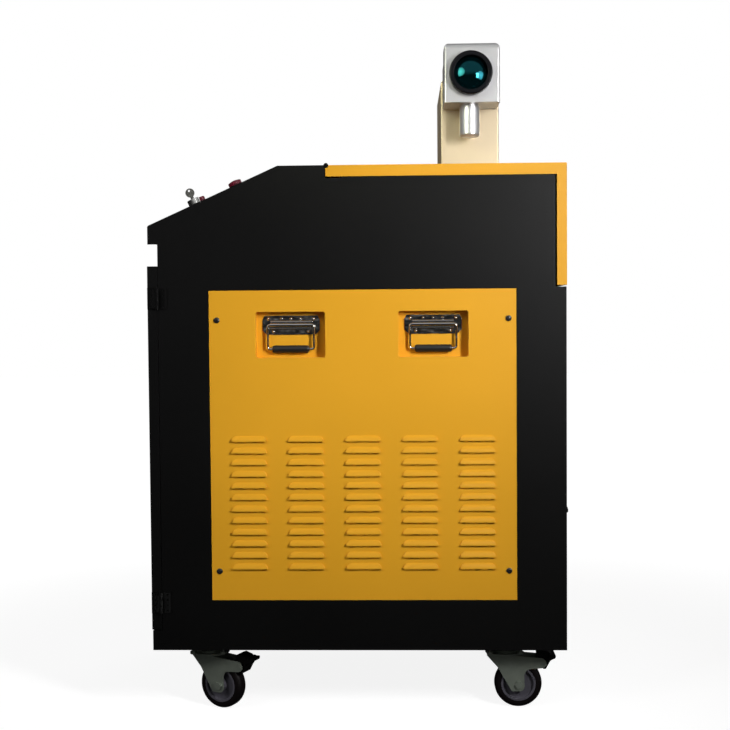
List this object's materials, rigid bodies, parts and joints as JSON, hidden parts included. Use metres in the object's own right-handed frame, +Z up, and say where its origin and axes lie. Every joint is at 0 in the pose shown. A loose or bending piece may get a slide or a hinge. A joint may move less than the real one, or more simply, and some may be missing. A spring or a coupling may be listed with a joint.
{
  "type": "laser cleaning machine",
  "caption": "Wheeled laser cleaning machine: black cabinet with sloping console, yellow louvred side panels with spring handles, hinged lid and scanning head",
  "frame": {"origin": "on the floor under the middle of the machine's bounding box, as it stands on its casters", "axes": "+X from the console to the rear door, +Y to the far side seen from the side with the scanning lens, +Z up"},
  "size_m": [0.9064, 0.6364, 1.4835],
  "materials": {
    "body_black": "fine textured black powder coat, matt",
    "panel_yellow": "warm yellow powder coat, satin",
    "screw_black": "blackened steel",
    "screen_bezel": "dark glass in a black bezel",
    "collar_black": "matt black moulded collar",
    "switch_metal": "turned bright metal",
    "handle_chrome": "bright chromed steel",
    "grip_black": "smooth black moulded grip",
    "zinc": "dull grey green zinc plating",
    "hub": "dark grey moulded hub",
    "tyre": "black rubber tread",
    "pedal_black": "matt black moulded pedal",
    "rack_grey": "grey primer",
    "equipment_dark": "dark grey housing",
    "cooler_grey": "grey housing",
    "tank_white": "milky moulded plastic",
    "column_champagne": "champagne anodised, satin",
    "galvo_silver": "silver anodised, satin",
    "lens_black": "black anodised",
    "lens_glass": "dark teal coated glass",
    "stop_red": "dark red moulded plastic"
  },
  "bodies": {
    "cabinet": {"base_frame": "body_black", "side_wall_near": "body_black", "side_wall_far": "body_black", "console_cover": "body_black", "rear_panel": "body_black", "side_panel_near": "panel_yellow", "side_panel_far": "panel_yellow", "panel_screws": "screw_black", "hinge_fixed_leaves": "body_black", "lid_hinge_frame_leaf": "body_black", "touch_screen": "screen_bezel", "button_collars": "collar_black", "key_switch_body": "switch_metal", "handle_plates": "handle_chrome", "caster_plates": "zinc", "equipment_rack": "rack_grey", "laser_source": "equipment_dark", "water_tank": "tank_white", "cooling_unit": "cooler_grey", "control_unit": "equipment_dark"},
    "fan": {"fan_rotor": "equipment_dark"},
    "front_door": {"front_door": "body_black", "front_door_leaves": "body_black"},
    "rear_door": {"rear_door": "body_black", "rear_door_leaves": "body_black", "lock_body": "switch_metal"},
    "lock": {"lock_lever": "collar_black"},
    "lid": {"lid": "panel_yellow"},
    "head": {"head_column": "column_champagne", "galvo_housing": "galvo_silver", "lens_barrel": "lens_black", "lens_glass": "lens_glass", "motor_cover": "galvo_silver"},
    "stop_cap": {"stop_cap": "stop_red"},
    "key": {"key": "switch_metal"},
    "start_button": {"start_button": "stop_red"},
    "handle_near_front": {"bail_near_front": "handle_chrome", "grip_near_front": "grip_black"},
    "handle_near_rear": {"bail_near_rear": "handle_chrome", "grip_near_rear": "grip_black"},
    "handle_far_front": {"bail_far_front": "handle_chrome", "grip_far_front": "grip_black"},
    "handle_far_rear": {"bail_far_rear": "handle_chrome", "grip_far_rear": "grip_black"},
    "caster_near_front": {"fork_near_front": "zinc"},
    "wheel_near_front": {"wheel_near_front": "hub", "tyre_near_front": "tyre"},
    "pedal_near_front": {"pedal_near_front": "pedal_black"},
    "caster_near_rear": {"fork_near_rear": "zinc"},
    "wheel_near_rear": {"wheel_near_rear": "hub", "tyre_near_rear": "tyre"},
    "pedal_near_rear": {"pedal_near_rear": "pedal_black"},
    "caster_far_front": {"fork_far_front": "zinc"},
    "wheel_far_front": {"wheel_far_front": "hub", "tyre_far_front": "tyre"},
    "pedal_far_front": {"pedal_far_front": "pedal_black"},
    "caster_far_rear": {"fork_far_rear": "zinc"},
    "wheel_far_rear": {"wheel_far_rear": "hub", "tyre_far_rear": "tyre"},
    "pedal_far_rear": {"pedal_far_rear": "pedal_black"}
  },
  "joints": [
    {"name": "fan_spin", "type": "hinge", "parent": "cabinet", "child": "fan", "pos_m": [-0.1402, -0.2358, 0.298], "axis": [0, 1, 0], "continuous": true},
    {"name": "front_door_swing", "type": "hinge", "parent": "cabinet", "child": "front_door", "pos_m": [-0.4312, -0.3137, 0.588], "axis": [0, 0, 1], "range_deg": [0, 110]},
    {"name": "rear_door_swing", "type": "hinge", "parent": "cabinet", "child": "rear_door", "pos_m": [0.4457, 0.2622, 0.435], "axis": [0, 0, 1], "range_deg": [0, 110]},
    {"name": "lock_turn", "type": "hinge", "parent": "rear_door", "child": "lock", "pos_m": [0.4408, -0.2248, 0.435], "axis": [1, 0, 0], "range_deg": [0, 90]},
    {"name": "lid_swing", "type": "hinge", "parent": "cabinet", "child": "lid", "pos_m": [-0.0676, 0.0012, 1.1845], "axis": [0, -1, 0], "range_deg": [0, 75]},
    {"name": "head_lift_off", "type": "slide", "parent": "lid", "child": "head", "axis": [0, 0, 1], "range_m": [0, 0.15]},
    {"name": "stop_press", "type": "slide", "parent": "cabinet", "child": "stop_cap", "axis": [0.4077, 0, -0.9131], "range_m": [0, 0.004]},
    {"name": "start_press", "type": "slide", "parent": "cabinet", "child": "start_button", "axis": [0.4077, 0, -0.9131], "range_m": [0, 0.003], "stiffness_N_per_m": 300, "springref_m": -0.002},
    {"name": "key_turn", "type": "hinge", "parent": "cabinet", "child": "key", "pos_m": [-0.35666, -0.2638, 1.11316], "axis": [-0.4077, 0, 0.9131], "range_deg": [-90, 0]},
    {"name": "handle_near_front_swing", "type": "hinge", "parent": "cabinet", "child": "handle_near_front", "pos_m": [-0.1467, -0.2964, 0.8465], "axis": [-1, 0, 0], "range_deg": [0, 90], "stiffness_Nm_per_rad": 0.15, "springref_deg": -34.38},
    {"name": "handle_near_rear_swing", "type": "hinge", "parent": "cabinet", "child": "handle_near_rear", "pos_m": [0.1583, -0.2964, 0.8465], "axis": [-1, 0, 0], "range_deg": [0, 90], "stiffness_Nm_per_rad": 0.15, "springref_deg": -34.38},
    {"name": "handle_far_front_swing", "type": "hinge", "parent": "cabinet", "child": "handle_far_front", "pos_m": [-0.1467, 0.2988, 0.8465], "axis": [1, 0, 0], "range_deg": [0, 90], "stiffness_Nm_per_rad": 0.15, "springref_deg": -34.38},
    {"name": "handle_far_rear_swing", "type": "hinge", "parent": "cabinet", "child": "handle_far_rear", "pos_m": [0.1583, 0.2988, 0.8465], "axis": [1, 0, 0], "range_deg": [0, 90], "stiffness_Nm_per_rad": 0.15, "springref_deg": -34.38},
    {"name": "caster_near_front_swivel", "type": "hinge", "parent": "cabinet", "child": "caster_near_front", "pos_m": [-0.3382, -0.2268, 0.122], "axis": [0, 0, 1], "continuous": true},
    {"name": "wheel_near_front_spin", "type": "hinge", "parent": "caster_near_front", "child": "wheel_near_front", "pos_m": [-0.30988, -0.23941, 0.052], "axis": [0.4067, 0.9135, 0], "continuous": true},
    {"name": "pedal_near_front_press", "type": "hinge", "parent": "caster_near_front", "child": "pedal_near_front", "pos_m": [-0.26009, -0.26158, 0.099], "axis": [0.4067, 0.9135, 0], "range_deg": [0, 12]},
    {"name": "caster_near_rear_swivel", "type": "hinge", "parent": "cabinet", "child": "caster_near_rear", "pos_m": [0.3118, -0.2268, 0.122], "axis": [0, 0, 1], "continuous": true},
    {"name": "wheel_near_rear_spin", "type": "hinge", "parent": "caster_near_rear", "child": "wheel_near_rear", "pos_m": [0.3428, -0.2268, 0.052], "axis": [0, 1, 0], "continuous": true},
    {"name": "pedal_near_rear_press", "type": "hinge", "parent": "caster_near_rear", "child": "pedal_near_rear", "pos_m": [0.3973, -0.2268, 0.099], "axis": [0, 1, 0], "range_deg": [0, 12]},
    {"name": "caster_far_front_swivel", "type": "hinge", "parent": "cabinet", "child": "caster_far_front", "pos_m": [-0.3382, 0.2292, 0.122], "axis": [0, 0, 1], "continuous": true},
    {"name": "wheel_far_front_spin", "type": "hinge", "parent": "caster_far_front", "child": "wheel_far_front", "pos_m": [-0.3084, 0.23775, 0.052], "axis": [-0.2756, 0.9613, 0], "continuous": true},
    {"name": "pedal_far_front_press", "type": "hinge", "parent": "caster_far_front", "child": "pedal_far_front", "pos_m": [-0.25601, 0.25277, 0.099], "axis": [-0.2756, 0.9613, 0], "range_deg": [0, 12]},
    {"name": "caster_far_rear_swivel", "type": "hinge", "parent": "cabinet", "child": "caster_far_rear", "pos_m": [0.3118, 0.2292, 0.122], "axis": [0, 0, 1], "continuous": true},
    {"name": "wheel_far_rear_spin", "type": "hinge", "parent": "caster_far_rear", "child": "wheel_far_rear", "pos_m": [0.34263, 0.23244, 0.052], "axis": [-0.1045, 0.9945, 0], "continuous": true},
    {"name": "pedal_far_rear_press", "type": "hinge", "parent": "caster_far_rear", "child": "pedal_far_rear", "pos_m": [0.39683, 0.23814, 0.099], "axis": [-0.1045, 0.9945, 0], "range_deg": [0, 12]}
  ]
}
